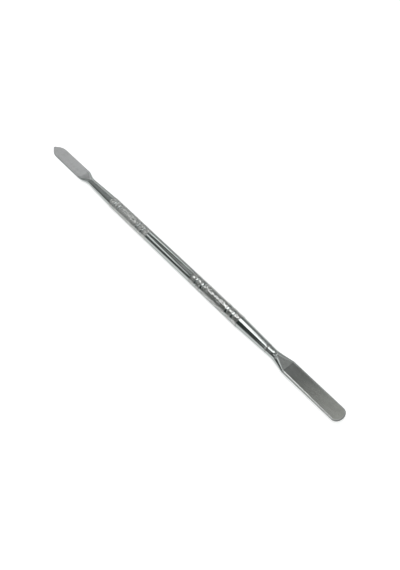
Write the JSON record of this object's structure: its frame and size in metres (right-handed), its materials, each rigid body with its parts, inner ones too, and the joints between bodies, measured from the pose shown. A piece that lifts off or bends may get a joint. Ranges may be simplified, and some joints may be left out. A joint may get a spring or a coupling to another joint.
{
  "type": "cuticle pusher",
  "caption": "Double-ended stainless steel cuticle pusher: flat round-nosed spatula at one end, pointed lancet blade at the other, slender knurled handle between.",
  "frame": {"origin": "middle of the tool: the centre of its bounding box, on the handle's axis", "axes": "+X along the handle towards the spatula's tip, +Z square to both blades' flats, +Y across the blades"},
  "size_m": [0.175, 0.0056, 0.0048],
  "materials": {
    "polished_steel": "bright polished stainless steel with a fine diamond knurl on the grip bands",
    "satin_steel": "satin ground stainless steel",
    "braze": "silver brazing alloy, polished flush with the steel"
  },
  "bodies": {
    "root": {"handle": "polished_steel", "spatula_end": "satin_steel", "lancet_end": "satin_steel", "spatula_braze": "braze", "lancet_braze": "braze"}
  },
  "joints": []
}
